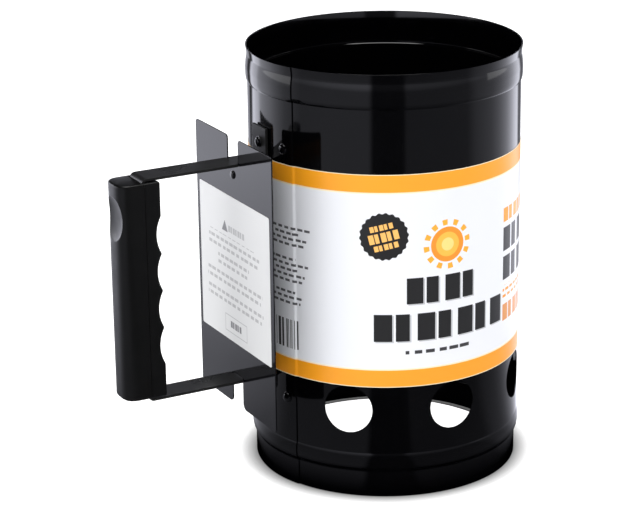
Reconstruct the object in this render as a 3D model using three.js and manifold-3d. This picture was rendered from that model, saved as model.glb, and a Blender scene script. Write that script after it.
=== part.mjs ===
// Chimney charcoal starter: a rolled steel drum with a row of air holes, a paper wrap, a loose wire grate,
// and a strap handle that carries a flat heat shield and a two-part plastic grip.
// Millimetres, +Z up. The handle points to -X. The origin is under the middle of the part's box.
import * as THREE from "three";
import { mergeVertices } from "three/addons/utils/BufferGeometryUtils.js";
import Module from "manifold-3d";

const wasm = await Module();
wasm.setup();

// Clearance left between pieces that touch on the real object.
const GAP = 0.3;

// Drum: one sheet, rolled, lapped and riveted, with two rolled beads.
const DRUM_R = 95;
const DRUM_H = 301;
const SHEET = 0.8;
const DRUM_SIDES = 72;
const FOOT_R = 93.4;
const LOW_BEAD_R = 95.8;
const TOP_BEAD_R = 96.25;
const RIM_R = 96.1;
const NECK_R = 94.6;
const LOW_BEAD_Z = [19, 22, 26.4, 32.5];
const TOP_BEAD_Z = [276, 280.5, 285.4, 290.5, 294];
const NECK_TOP_Z = 297;

// Lap seam, beside the handle: angles about the drum's axis, counted from the handle.
const LAP_FROM = 11.5;
const LAP_TO = 20.5;
const SEAM_RIVET_AT = 15.4;
const LOW_RIVET_Z = 64;
const TOP_RIVET_Z = 243;

// Air holes: one every 45 degrees, except under the handle.
const VENT_R = 17;
const VENT_Z = 64.5;
const VENT_PITCH = 45;
const VENT_COUNT = 7;

// Paper wrap.
const WRAP_Z = [81.8, 232.9];
const WRAP_T = 0.3;

// Handle strap: a flat bar bent to a square C, symmetric about its middle height.
const STRAP_W = 20;
const STRAP_T = 2;
const STRAP_BEND = 3;
const TAB_U = DRUM_R + 0.9;
const TAB_Z = [53, 254];
const ARM_Z = [75.3, 231.5];
const WEB_U = 189;
const NECK_HALF = 7.4;

// Heat shield, hung on the strap's two notches.
const SHIELD_U = 117;
const SHIELD_T = 1;
const SHIELD_HALF = 58;
const SHIELD_Z = [54, 248.8];
const SHIELD_CORNER = 3;
const SLOT_HALF = 8;
const SLOT_CORNER = 4.5;
const SLOT_END_Z = [77, 229.8];
const STICKER_HALF = 53.5;
const STICKER_Z = [100, 206];
const STICKER_T = 0.2;
const SHIELD_RIVET_Z = 222.5;
const SHIELD_RIVET_GRIP = 1.5;
const BRACKET_T = 1.2;
const BRACKET_SIZE = 13;
const BRACKET_BELOW_RIVET = 6;
const SMALL_BEND = 1.4;

// Grip: two mouldings clamped on the strap's web.
const GRIP_U = [177.6, 207.4];
const GRIP_HALF = 13;
const GRIP_Z = [77.5, 230];
const FINGER_CORNER = 1.5;
const PALM_BULGE = 12;
const PALM_SQUARENESS = 3;
const SCALLOP_PITCH = 26.2;
const SCALLOP_DEPTH = 3.4;
const SCALLOP_COUNT = 4;
const SCREW_Z = [89.5, 217.5];
const SCREW_SEAT_U = 2;
const SCREW_SINK = 0.7;
const SCREW_REACH = 9;
const SCREW_POINT = 1.5;
const HEX_R = 1.3;
const DISH_Z = 205.5;
const DISH_DEPTH = 3.6;
const DISH_RADII = [8, 21.5, 18.6];

// Rivets and screws.
const SHANK_R = 1.8;
const HOLE_R = 1.95;
// How far a hole's cutter reaches either side of the face it starts from.
const THROUGH = 5;
const HEAD_R = 4;
const HEAD_H = 2.2;
const TAIL_H = 1.4;
const WASHER_R = 6;
const WASHER_T = 1;
const WASHER_U = 93.6;

// Grate: welded wire, loose on four lugs.
const GRATE_Z = 88;
const GRATE_R = 86.5;
const RING_WIRE_R = 2;
const WIRE_R = 1.5;
const WIRE_COUNT = 9;
const WIRE_PITCH = 18;
const BAR_X = [-30, 30];
const LUG_ANGLES = [22.5, 112.5, 202.5, 292.5];
const LUG_W = 12;
const LUG_T = 1.2;
const LUG_REACH = [82.5, 93.4];
const LUG_H = 12;

// The drum's axis stands this far from the origin, so that the origin is under the middle of the box.
const AXIS_X = (GRIP_U[1] - TOP_BEAD_R) / 2;

function paint(color, roughness, metalness) {
  return new THREE.MeshStandardMaterial({ color, roughness, metalness });
}

const GLOSS_BLACK = paint(0x0b0b0c, 0.12, 0.3);
const SHIELD_BLACK = paint(0x1c1c20, 0.25, 0.5);
const GRIP_BLACK = paint(0x121212, 0.45, 0);
const PAPER = paint(0xeef0f4, 0.5, 0);
const STEEL = paint(0x8c8d90, 0.4, 1);

const rad = THREE.MathUtils.degToRad;
const v2 = (x, y) => new THREE.Vector2(x, y);

// Booleans.

function toSolid(geometry) {
  const plain = geometry.clone();
  plain.deleteAttribute("normal");
  plain.deleteAttribute("uv");
  const merged = mergeVertices(plain, 1e-4);
  const mesh = new wasm.Mesh({
    numProp: 3,
    vertProperties: new Float32Array(merged.attributes.position.array),
    triVerts: new Uint32Array(merged.index.array),
  });
  return new wasm.Manifold(mesh);
}

function toGeometry(solid) {
  const mesh = solid.getMesh();
  const geometry = new THREE.BufferGeometry();
  geometry.setAttribute("position", new THREE.BufferAttribute(new Float32Array(mesh.vertProperties), 3));
  geometry.setIndex(new THREE.BufferAttribute(new Uint32Array(mesh.triVerts), 1));
  geometry.computeVertexNormals();
  return geometry;
}

function cut(geometry, ...tools) {
  return toGeometry(tools.reduce((solid, tool) => solid.subtract(toSolid(tool)), toSolid(geometry)));
}

function join(geometry, ...more) {
  return toGeometry(more.reduce((solid, other) => solid.add(toSolid(other)), toSolid(geometry)));
}

// Shapes. "u" is the distance from the drum's axis towards the handle, which is -X.

// A ring or knob about Z from (radius, height) points, listed anticlockwise in that plane.
function lathe(points, sides) {
  const profile = [...points, points[0]].map(([r, z]) => v2(r, z));
  return new THREE.LatheGeometry(profile, sides).rotateX(Math.PI / 2);
}

// The same about the u axis, its heights measured along u.
function latheU(points, sides, z = 0) {
  return lathe(points, sides).rotateY(-Math.PI / 2).translate(0, 0, z);
}

function box(size, centre) {
  return new THREE.BoxGeometry(...size).translate(...centre);
}

// A cylinder along u.
function pegU(radius, fromU, toU, z, sides = 20) {
  const peg = new THREE.CylinderGeometry(radius, radius, toU - fromU, sides).rotateZ(Math.PI / 2);
  return peg.translate(-(fromU + toU) / 2, 0, z);
}

// A plate of constant thickness, its outline drawn across the handle's direction.
function plateU(outline, fromU, thickness) {
  const options = { depth: thickness, bevelEnabled: false, curveSegments: 5 };
  const plate = new THREE.ExtrudeGeometry(outline, options);
  return plate.rotateZ(-Math.PI / 2).rotateY(-Math.PI / 2).translate(-fromU, 0, 0);
}

// A bar whose outline is drawn in the (u, z) plane, extruded evenly to both sides.
function barAcross(outline, width, curveSegments = 6) {
  const bar = new THREE.ExtrudeGeometry(outline, { depth: width, bevelEnabled: false, curveSegments });
  return bar.translate(0, 0, -width / 2).rotateX(Math.PI / 2).rotateZ(Math.PI);
}

// Part of a ring between two angles from the handle, and two heights.
function sector(innerR, outerR, fromDeg, toDeg, fromZ, toZ) {
  const shape = new THREE.Shape();
  const from = rad(180 + fromDeg);
  const to = rad(180 + toDeg);
  shape.absarc(0, 0, outerR, from, to, false);
  shape.absarc(0, 0, innerR, to, from, true);
  const options = { depth: toZ - fromZ, bevelEnabled: false, curveSegments: 4 };
  const slab = new THREE.ExtrudeGeometry(shape, options);
  return slab.translate(0, 0, fromZ);
}

// A closed outline through corner points, each corner with its own radius.
function roundedOutline(corners) {
  const shape = new THREE.Shape();
  corners.forEach(([x, y, radius], i) => {
    const here = v2(x, y);
    const before = v2(...corners.at(i - 1)).sub(here).setLength(radius).add(here);
    const after = v2(...corners[(i + 1) % corners.length]).sub(here).setLength(radius).add(here);
    if (i === 0) shape.moveTo(before.x, before.y);
    else shape.lineTo(before.x, before.y);
    if (radius > 0) shape.quadraticCurveTo(x, y, after.x, after.y);
  });
  return shape;
}

// The side outline of a bent bar, from its centre line's corners.
function bentBarOutline(corners, thickness, bendR) {
  const sides = [1, -1].map((side) => {
    const edge = [];
    const last = corners.length - 1;
    corners.forEach((corner, i) => {
      const here = v2(...corner);
      const into = i > 0 ? here.clone().sub(v2(...corners[i - 1])).normalize() : null;
      const out = i < last ? v2(...corners[i + 1]).sub(here).normalize() : null;
      const offset = (d) => v2(-d.y, d.x).multiplyScalar((side * thickness) / 2);
      if (!into || !out) {
        edge.push(here.clone().add(offset(into ?? out)));
        return;
      }
      const centre = here.clone().addScaledVector(into, -bendR).addScaledVector(out, bendR);
      for (const t of [0, 0.25, 0.5, 0.75, 1]) {
        const angle = (t * Math.PI) / 2;
        const arm = out.clone().multiplyScalar(-Math.cos(angle)).addScaledVector(into, Math.sin(angle));
        const turnsLeft = into.cross(out) > 0 ? 1 : -1;
        const radius = bendR - (side * turnsLeft * thickness) / 2;
        edge.push(centre.clone().addScaledVector(arm, radius));
      }
    });
    return edge;
  });
  return new THREE.Shape([...sides[1], ...sides[0].reverse()]);
}

// Pieces.

function drum() {
  const outer = [
    [FOOT_R, 0],
    [FOOT_R, LOW_BEAD_Z[0]],
    [DRUM_R, LOW_BEAD_Z[1]],
    [LOW_BEAD_R, LOW_BEAD_Z[2]],
    [DRUM_R, LOW_BEAD_Z[3]],
    [DRUM_R, TOP_BEAD_Z[0]],
    [TOP_BEAD_R - 0.3, TOP_BEAD_Z[1]],
    [TOP_BEAD_R, TOP_BEAD_Z[2]],
    [TOP_BEAD_R - 0.3, TOP_BEAD_Z[3]],
    [NECK_R, TOP_BEAD_Z[4]],
    [NECK_R, NECK_TOP_Z],
    [RIM_R, DRUM_H],
  ];
  const inner = outer.map(([r, z]) => [r - SHEET, z]).reverse();
  const shell = lathe([...outer, ...inner], DRUM_SIDES);
  const lapInner = DRUM_R - SHEET / 2;
  const lapOuter = DRUM_R + SHEET;
  const lowLap = sector(lapInner, lapOuter, LAP_FROM, LAP_TO, LOW_BEAD_Z[3], WRAP_Z[0] - GAP);
  const topLap = sector(lapInner, lapOuter, LAP_FROM, LAP_TO, WRAP_Z[1] + GAP, TOP_BEAD_Z[0]);
  const vents = Array.from({ length: VENT_COUNT }, (_, i) =>
    pegU(VENT_R, DRUM_R - 12, DRUM_R + 12, VENT_Z, 28).rotateZ(rad(VENT_PITCH * (i + 1))),
  );
  const holes = [LOW_RIVET_Z, TOP_RIVET_Z].flatMap((z) =>
    [0, SEAM_RIVET_AT].map((at) => pegU(HOLE_R, DRUM_R - THROUGH, DRUM_R + THROUGH, z, 12).rotateZ(rad(at))),
  );
  return cut(join(shell, lowLap, topLap), ...vents, ...holes);
}

function wrapLabel() {
  const innerR = DRUM_R + GAP;
  const outerR = innerR + WRAP_T;
  const [low, high] = WRAP_Z;
  return lathe([[innerR, low], [outerR, low], [outerR, high], [innerR, high]], DRUM_SIDES);
}

function handleStrap() {
  const tabU = TAB_U + STRAP_T / 2;
  const centreLine = [
    [tabU, TAB_Z[1]],
    [tabU, ARM_Z[1]],
    [WEB_U, ARM_Z[1]],
    [WEB_U, ARM_Z[0]],
    [tabU, ARM_Z[0]],
    [tabU, TAB_Z[0]],
  ];
  const bar = barAcross(bentBarOutline(centreLine, STRAP_T, STRAP_BEND), STRAP_W);
  const notchDepth = STRAP_W / 2 - NECK_HALF + 1;
  const notches = ARM_Z.flatMap((z) =>
    [-1, 1].map((side) =>
      box(
        [SHIELD_T + 2 * GAP, notchDepth, 3 * STRAP_T],
        [-(SHIELD_U + SHIELD_T / 2), side * (NECK_HALF + notchDepth / 2), z],
      ),
    ),
  );
  const rivetHoles = [LOW_RIVET_Z, TOP_RIVET_Z].map((z) =>
    pegU(HOLE_R, TAB_U - THROUGH, TAB_U + THROUGH, z, 12),
  );
  const screwHoles = SCREW_Z.map((z) => pegU(HOLE_R, WEB_U - THROUGH, WEB_U + THROUGH, z, 12));
  return cut(bar, ...notches, ...rivetHoles, ...screwHoles);
}

function heatShield() {
  const [low, high] = SHIELD_Z;
  const [slotLow, slotHigh] = SLOT_END_Z;
  const outline = roundedOutline([
    [-SHIELD_HALF, low, SHIELD_CORNER],
    [-SLOT_HALF, low, SLOT_CORNER],
    [-SLOT_HALF, slotLow, 1],
    [SLOT_HALF, slotLow, 1],
    [SLOT_HALF, low, SLOT_CORNER],
    [SHIELD_HALF, low, SHIELD_CORNER],
    [SHIELD_HALF, high, SHIELD_CORNER],
    [SLOT_HALF, high, SHIELD_CORNER],
    [SLOT_HALF, slotHigh, 1],
    [-SLOT_HALF, slotHigh, 1],
    [-SLOT_HALF, high, SHIELD_CORNER],
    [-SHIELD_HALF, high, SHIELD_CORNER],
  ]);
  const plate = plateU(outline, SHIELD_U, SHIELD_T);
  return cut(plate, pegU(HOLE_R, SHIELD_U - THROUGH, SHIELD_U + THROUGH, SHIELD_RIVET_Z, 12));
}

function shieldLabel() {
  const [low, high] = STICKER_Z;
  const outline = roundedOutline([
    [-STICKER_HALF, low, 1.5],
    [STICKER_HALF, low, 1.5],
    [STICKER_HALF, high, 1.5],
    [-STICKER_HALF, high, 1.5],
  ]);
  return plateU(outline, SHIELD_U + SHIELD_T + GAP, STICKER_T);
}

// A small angle spot-welded under the top arm, which the shield is riveted to.
function shieldBracket() {
  const top = ARM_Z[1] - STRAP_T / 2 - GAP;
  const front = SHIELD_U - GAP;
  const centreLine = [
    [front - BRACKET_SIZE, top - BRACKET_T / 2],
    [front - BRACKET_T / 2, top - BRACKET_T / 2],
    [front - BRACKET_T / 2, SHIELD_RIVET_Z - BRACKET_BELOW_RIVET],
  ];
  const angle = barAcross(bentBarOutline(centreLine, BRACKET_T, SMALL_BEND), BRACKET_SIZE);
  return cut(angle, pegU(HOLE_R, front - 2 * BRACKET_T, front + BRACKET_T, SHIELD_RIVET_Z, 12));
}

// The palm side's section: straight sides, then a full, rather square curve.
function palmOutline(split) {
  const start = GRIP_U[1] - PALM_BULGE;
  const soften = (x) => Math.sign(x) * Math.abs(x) ** (2 / PALM_SQUARENESS);
  const curve = Array.from({ length: 25 }, (_, i) => {
    const angle = ((i - 12) / 24) * Math.PI;
    return v2(start + PALM_BULGE * soften(Math.cos(angle)), GRIP_HALF * soften(Math.sin(angle)));
  });
  return new THREE.Shape([v2(split, -GRIP_HALF), ...curve, v2(split, GRIP_HALF)]);
}

// The fingers' side: a block with small corners.
function fingerOutline(split) {
  return roundedOutline([
    [split, GRIP_HALF, 0],
    [GRIP_U[0], GRIP_HALF, FINGER_CORNER],
    [GRIP_U[0], -GRIP_HALF, FINGER_CORNER],
    [split, -GRIP_HALF, 0],
  ]);
}

// One grip moulding, with the channel that takes the strap.
function gripHalf(outline) {
  const length = GRIP_Z[1] - GRIP_Z[0];
  const options = { depth: length, bevelEnabled: false, curveSegments: 4 };
  const block = new THREE.ExtrudeGeometry(outline, options);
  block.rotateZ(Math.PI).translate(0, 0, GRIP_Z[0]);
  const channel = box(
    [STRAP_T + 2 * GAP, STRAP_W + 2 * GAP, 2 * length],
    [-WEB_U, 0, (GRIP_Z[0] + GRIP_Z[1]) / 2],
  );
  return cut(block, channel);
}

// A bar wide enough to cut one finger scallop across the grip.
function scallopCutter(z) {
  const chord = SCALLOP_PITCH / 2;
  const radius = (chord ** 2 + SCALLOP_DEPTH ** 2) / (2 * SCALLOP_DEPTH);
  const bar = new THREE.CylinderGeometry(radius, radius, 4 * GRIP_HALF, 48);
  return bar.translate(-(GRIP_U[0] + SCALLOP_DEPTH - radius), 0, z);
}

// Clears the bends of the strap where it turns into the grip.
function bendCutter(z) {
  const size = 2 * (STRAP_BEND + STRAP_T);
  return box([size, STRAP_W + 2 * GAP, size], [-(WEB_U - STRAP_BEND), 0, z]);
}

function gripInner() {
  const middle = (SCALLOP_COUNT - 1) / 2;
  const centreZ = (ARM_Z[0] + ARM_Z[1]) / 2;
  const scallops = Array.from({ length: SCALLOP_COUNT }, (_, i) =>
    scallopCutter(centreZ + (i - middle) * SCALLOP_PITCH),
  );
  const outside = GRIP_U[0] - HEAD_R;
  const seat = GRIP_U[0] + SCREW_SINK + SCREW_SEAT_U + GAP;
  const clearance = SCREW_Z.map((z) => pegU(HOLE_R, outside, WEB_U + STRAP_T, z, 16));
  const sinks = SCREW_Z.map((z) => pegU(HEAD_R + GAP, outside, seat, z, 20));
  const bends = ARM_Z.map(bendCutter);
  const block = gripHalf(fingerOutline(WEB_U - GAP / 2));
  return cut(block, ...scallops, ...clearance, ...sinks, ...bends);
}

function gripOuter() {
  const pilotEnd = WEB_U + SCREW_REACH + STRAP_T;
  const pilots = SCREW_Z.map((z) => pegU(HOLE_R, WEB_U - STRAP_T, pilotEnd, z, 16));
  const bends = ARM_Z.map(bendCutter);
  const dish = new THREE.SphereGeometry(1, 40, 28).scale(...DISH_RADII);
  dish.translate(-(GRIP_U[1] + DISH_RADII[0] - DISH_DEPTH), 0, DISH_Z);
  return cut(gripHalf(palmOutline(WEB_U + GAP / 2)), ...pilots, ...bends, dish);
}

// A pan-head screw driven from the fingers' side into the palm side.
function gripScrew(z) {
  const headAt = GRIP_U[0] + SCREW_SINK;
  const seat = headAt + SCREW_SEAT_U;
  const tip = WEB_U + SCREW_REACH;
  const points = [
    [0, headAt],
    [HEAD_R - 1, headAt],
    [HEAD_R - GAP, headAt + 0.8],
    [HEAD_R - GAP, seat],
    [SHANK_R, seat],
    [SHANK_R, tip - SCREW_POINT],
    [SHANK_R / 3, tip],
    [0, tip],
  ];
  const socket = pegU(HEX_R, headAt - HEX_R, headAt + HEX_R, z, 6);
  return cut(latheU(points, 16, z), socket);
}

// A dome-head rivet along u, turned about the drum's axis, with its tail closed inside the drum.
function rivet(z, turnDeg, seatU, tailU) {
  const head = [
    [SHANK_R, seatU],
    [HEAD_R, seatU],
    [HEAD_R, seatU + 0.5],
    [HEAD_R * 0.78, seatU + HEAD_H * 0.75],
    [HEAD_R * 0.4, seatU + HEAD_H],
    [0, seatU + HEAD_H],
  ];
  const tail = [
    [0, tailU - TAIL_H],
    [HEAD_R * 0.55, tailU - TAIL_H],
    [HEAD_R * 0.8, tailU],
    [SHANK_R, tailU],
  ];
  return latheU([...tail, ...head], 16, z).rotateZ(rad(turnDeg));
}

function strapWasher(z) {
  const back = WASHER_U - WASHER_T;
  return latheU([[HOLE_R, back], [WASHER_R, back], [WASHER_R, WASHER_U], [HOLE_R, WASHER_U]], 20, z);
}

// An angle with one leg on the drum's wall and one leg under the grate.
function grateLug(angleDeg) {
  const [inner, outer] = LUG_REACH;
  const centreLine = [
    [inner, GRATE_Z - LUG_T / 2],
    [outer - LUG_T / 2, GRATE_Z - LUG_T / 2],
    [outer - LUG_T / 2, GRATE_Z + LUG_H],
  ];
  return barAcross(bentBarOutline(centreLine, LUG_T, SMALL_BEND), LUG_W).rotateZ(rad(angleDeg));
}

function grateRing() {
  const centreZ = GRATE_Z + GAP + RING_WIRE_R;
  return new THREE.TorusGeometry(GRATE_R, RING_WIRE_R, 8, 48).translate(0, 0, centreZ);
}

// A straight wire in the grate, reaching as far as the given circle.
function grateWire(reachR, offset, z, alongX) {
  const length = 2 * Math.sqrt(reachR ** 2 - offset ** 2);
  const wire = new THREE.CylinderGeometry(WIRE_R, WIRE_R, length, 8);
  if (alongX) return wire.rotateZ(Math.PI / 2).translate(0, offset, z);
  return wire.translate(offset, 0, z);
}

// Assembly.

const starter = new THREE.Group();
starter.position.x = AXIS_X;

function add(name, geometry, material) {
  const mesh = new THREE.Mesh(geometry, material);
  mesh.name = name;
  starter.add(mesh);
}

add("drum", drum(), GLOSS_BLACK);
add("wrap_label", wrapLabel(), PAPER);
add("handle_strap", handleStrap(), GLOSS_BLACK);
add("heat_shield", heatShield(), SHIELD_BLACK);
add("shield_label", shieldLabel(), PAPER);
add("shield_bracket", shieldBracket(), GLOSS_BLACK);
const shieldTail = SHIELD_U - SHIELD_RIVET_GRIP - 2 * GAP;
add("shield_rivet", rivet(SHIELD_RIVET_Z, 0, SHIELD_U + SHIELD_T + GAP, shieldTail), GLOSS_BLACK);
add("grip_outer", gripOuter(), GRIP_BLACK);
add("grip_inner", gripInner(), GRIP_BLACK);

const LEVELS = { bottom: 0, top: 1 };
for (const [level, i] of Object.entries(LEVELS)) {
  const z = [LOW_RIVET_Z, TOP_RIVET_Z][i];
  add(`grip_screw_${level}`, gripScrew(SCREW_Z[i]), STEEL);
  add(`strap_rivet_${level}`, rivet(z, 0, TAB_U + STRAP_T + GAP, WASHER_U - WASHER_T - GAP), GLOSS_BLACK);
  add(`strap_washer_${level}`, strapWasher(z), STEEL);
  add(`seam_rivet_${level}`, rivet(z, SEAM_RIVET_AT, DRUM_R + SHEET + GAP, WASHER_U), GLOSS_BLACK);
}

LUG_ANGLES.forEach((angle, i) => add(`grate_lug_${i + 1}`, grateLug(angle), STEEL));

const wireZ = GRATE_Z + 2 * GAP + 2 * RING_WIRE_R + WIRE_R;
const barZ = wireZ - GAP - 2 * WIRE_R;
add("grate_ring", grateRing(), STEEL);
BAR_X.forEach((x, i) => add(`grate_bar_${i + 1}`, grateWire(GRATE_R - 3, x, barZ, false), STEEL));
for (let i = 0; i < WIRE_COUNT; i += 1) {
  const y = (i - (WIRE_COUNT - 1) / 2) * WIRE_PITCH;
  add(`grate_wire_${i + 1}`, grateWire(GRATE_R + 1, y, wireZ, true), STEEL);
}

const root = new THREE.Group();
root.add(starter);

export default root;
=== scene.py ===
"""Looks for the chimney charcoal starter: a fine mesh and a procedural material for every CAD node."""

import math

import bpy
import numpy as np
from mathutils import Matrix, Vector


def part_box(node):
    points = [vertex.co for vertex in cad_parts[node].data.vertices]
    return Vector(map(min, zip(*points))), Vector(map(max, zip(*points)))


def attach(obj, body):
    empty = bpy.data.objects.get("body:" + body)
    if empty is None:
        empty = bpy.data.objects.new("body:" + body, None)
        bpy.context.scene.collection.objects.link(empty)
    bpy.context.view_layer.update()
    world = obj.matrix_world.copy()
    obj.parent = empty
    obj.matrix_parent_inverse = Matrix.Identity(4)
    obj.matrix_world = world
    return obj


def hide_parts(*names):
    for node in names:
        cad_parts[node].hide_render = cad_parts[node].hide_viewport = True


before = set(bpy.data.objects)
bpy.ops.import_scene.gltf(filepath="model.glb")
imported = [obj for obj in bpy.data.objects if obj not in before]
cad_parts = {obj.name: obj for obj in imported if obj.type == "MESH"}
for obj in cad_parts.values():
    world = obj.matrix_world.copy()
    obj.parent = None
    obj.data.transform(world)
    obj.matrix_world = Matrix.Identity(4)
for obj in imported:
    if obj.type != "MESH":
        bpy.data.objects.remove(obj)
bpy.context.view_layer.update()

MM = 0.001
DEG = math.pi / 180
BODY = "starter"
GRATE = "grate"

# What the frame gives.
DRUM_LOW, DRUM_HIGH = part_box("drum")
WRAP_LOW, WRAP_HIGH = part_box("wrap_label")
SHIELD_LOW, SHIELD_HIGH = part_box("heat_shield")
STICKER_LOW, STICKER_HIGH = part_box("shield_label")
STRAP_LOW, STRAP_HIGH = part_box("handle_strap")
PALM_LOW, PALM_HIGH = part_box("grip_outer")
_, FINGER_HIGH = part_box("grip_inner")
RING_LOW, RING_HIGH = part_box("grate_ring")

AXIS_X = (DRUM_LOW.x + DRUM_HIGH.x) / 2
DRUM_TOP = DRUM_HIGH.z
SHEET = 0.8 * MM
WALL = 95
DRUM_R = WALL * MM

# The drum's outline, in millimetres: radii, heights, and how far each feature stands out.
FOOT, NECK = 93.4, 94.6
FOOT_STEP = (18.4, 21.8)
LOW_BEAD_AT, LOW_BEAD_HALF, LOW_BEAD_OUT = 26.6, 6.2, 0.8
BEADS_APART = 40
GROOVE = (276.5, 277.6)
TOP_BEAD_AT, TOP_BEAD_ABOVE, TOP_BEAD_BELOW = 285, 10, 8.1
TOP_BEAD_OUT, TOP_BEAD_ROUNDING = 1.6, 1.1
FLARE_FROM, FLARE_HEIGHT, FLARE_OUT = 288, 13, 1.35

# The lap seam, in degrees from the handle, and how far it lifts the outer layer.
LAP_FROM = 11.5
LAP_TO = 20.5
LAP_RAMP = 30
LAP_LIFT = 0.82 * MM
LAP_END = 0.9
SEAM_RIVET_AT = 15.4

# The paper starts and ends on the far side, in degrees, and laps over itself.
WRAP_START = 206
WRAP_END = WRAP_START + 366
WRAP_LAP = (WRAP_END - 5.5, WRAP_END - 4.5)
WRAP_OFF_DRUM = 0.19 * MM
WRAP_THICKNESS = 0.13 * MM
WRAP_LAP_LIFT = 0.15 * MM

VENT_R = 17 * MM
VENT_Z = 64.5 * MM
VENT_ANGLES = [45 * k for k in range(1, 8)]

# The photographer's camera, about the drum's axis.
CAMERA_AZIMUTH = -29.54
CAMERA_DISTANCE = 1.5986
CAMERA_HEIGHT = 0.681
CAMERA_YAW = -1.706
CAMERA_PITCH = 18.491
CAMERA_ROLL = -0.705
CAMERA_LENS = 134.4
SEEN_FROM = 60.46


# ---- placing


def polar(radius, angle, z):
    """Points at a distance from the drum's axis and an angle from the handle, in degrees."""
    turn = np.radians(angle)
    return np.stack(np.broadcast_arrays(AXIS_X - radius * np.cos(turn), -radius * np.sin(turn), z), axis=-1)


def along_handle(u, v, z):
    """A point u from the drum's axis towards the handle, and v to the handle's near side."""
    return np.stack(np.broadcast_arrays(AXIS_X - np.asarray(u, float), -np.asarray(v, float), z), axis=-1)


def smoothstep(low, high, x):
    t = np.clip((x - low) / (high - low), 0, 1)
    return t * t * (3 - 2 * t)


# ---- meshes


def shade_smooth(mesh):
    mesh.polygons.foreach_set("use_smooth", [True] * len(mesh.polygons))


def shade_by_angle(piece, angle=35):
    """Keeps edges sharper than the angle sharp."""
    piece.data.set_sharp_from_angle(angle=angle * DEG)


def new_object(name, mesh):
    """An object in the scene from (verts, faces)."""
    verts, faces = mesh
    data = bpy.data.meshes.new(name)
    data.from_pydata([tuple(map(float, v)) for v in verts], [], [tuple(map(int, f)) for f in faces])
    made = bpy.data.objects.new(name, data)
    bpy.context.scene.collection.objects.link(made)
    return made


def make_piece(name, mesh, material, node, body=BODY):
    """A mesh object in place for its CAD node. Its slot holds its material."""
    piece = new_object(name, mesh)
    piece.data.validate()
    shade_smooth(piece.data)
    piece.data.materials.append(material)
    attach(piece, body)
    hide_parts(node)
    return piece


def soften(piece, width, segments=2, angle=40):
    """Rounds the sharp edges and keeps the flats flat."""
    bevel = piece.modifiers.new("rounded_edges", "BEVEL")
    bevel.width = width
    bevel.segments = segments
    bevel.limit_method = "ANGLE"
    bevel.angle_limit = angle * DEG
    bevel.harden_normals = True


def carve(piece, tools):
    """Cuts closed tool meshes, given as (verts, faces), out of a piece for good."""
    for mesh in tools:
        tool = new_object("tool", mesh)
        cut = piece.modifiers.new("cut", "BOOLEAN")
        cut.operation = "DIFFERENCE"
        cut.solver = "EXACT"
        cut.object = tool
        bpy.context.view_layer.update()
        seen = piece.evaluated_get(bpy.context.evaluated_depsgraph_get())
        made = bpy.data.meshes.new_from_object(seen)
        piece.modifiers.clear()
        piece.data = made
        bpy.data.objects.remove(tool)
    shade_smooth(piece.data)


def block(low, high):
    """A box as a cutting tool."""
    verts = [(x, y, z) for x in (low[0], high[0]) for y in (low[1], high[1]) for z in (low[2], high[2])]
    faces = [(0, 1, 3, 2), (4, 6, 7, 5), (0, 4, 5, 1), (2, 3, 7, 6), (0, 2, 6, 4), (1, 5, 7, 3)]
    return verts, faces


def loft(loops, closed_ends=True):
    """Faces that join equal closed loops of points one after another, with a cap at each end."""
    count = len(loops[0])
    verts = np.concatenate(loops)
    faces = []
    for row in range(len(loops) - 1):
        for i in range(count):
            j = (i + 1) % count
            a, b = row * count, (row + 1) * count
            faces.append((a + i, a + j, b + j, b + i))
    if closed_ends:
        faces.append(tuple(range(count))[::-1])
        faces.append(tuple(range(len(verts) - count, len(verts))))
    return verts, faces


def turned(profile, matrix, sides=48):
    """A solid of revolution from (radius, height) points that end on the axis, or a closed ring."""
    matrix = np.array(matrix)
    on_axis = profile[0][0] == 0 and profile[-1][0] == 0
    ring = [(r, h) for r, h in profile if r > 0]
    angles = np.linspace(0, 2 * math.pi, sides, endpoint=False)
    rows = [np.stack([r * np.cos(angles), r * np.sin(angles), np.full(sides, h)], axis=1) for r, h in ring]
    if on_axis:
        verts, faces = loft(rows, closed_ends=False)
        tips = [(0, 0, profile[0][1]), (0, 0, profile[-1][1])]
        last = (len(rows) - 1) * sides
        first_tip, last_tip = len(verts), len(verts) + 1
        verts = np.concatenate([verts, tips])
        for i in range(sides):
            j = (i + 1) % sides
            faces.append((j, i, first_tip))
            faces.append((last + i, last + j, last_tip))
    else:
        verts, faces = loft([*rows, rows[0]], closed_ends=False)
        verts = verts[: len(rows) * sides]
        faces = [tuple(v % len(verts) for v in face) for face in faces]
    return verts @ matrix[:3, :3].T + matrix[:3, 3], faces


def towards_handle(z, angle=0):
    """The matrix that points a turned solid's height away from the drum's axis."""
    back = Matrix.Translation((AXIS_X, 0, z)) @ Matrix.Rotation(angle * DEG, 4, "Z")
    return back @ Matrix.Rotation(-math.pi / 2, 4, "Y")


def rounded(corners, steps=6):
    """A closed outline through (x, y, radius) corners, with true arcs."""
    points = []
    for i, (x, y, radius) in enumerate(corners):
        here = np.array([x, y], float)
        before = np.array(corners[i - 1][:2], float) - here
        after = np.array(corners[(i + 1) % len(corners)][:2], float) - here
        before /= np.linalg.norm(before)
        after /= np.linalg.norm(after)
        if radius == 0:
            points.append(here)
            continue
        half = math.acos(np.clip(before @ after, -1, 1)) / 2
        reach = radius / math.tan(half)
        centre = here + (before + after) / np.linalg.norm(before + after) * radius / math.sin(half)
        start, end = here + before * reach - centre, here + after * reach - centre
        sweep = math.atan2(start[0] * end[1] - start[1] * end[0], start @ end)
        for k in range(steps + 1):
            angle = sweep * k / steps
            turn = np.array([[math.cos(angle), -math.sin(angle)], [math.sin(angle), math.cos(angle)]])
            points.append(centre + turn @ start)
    return np.array(points)


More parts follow.
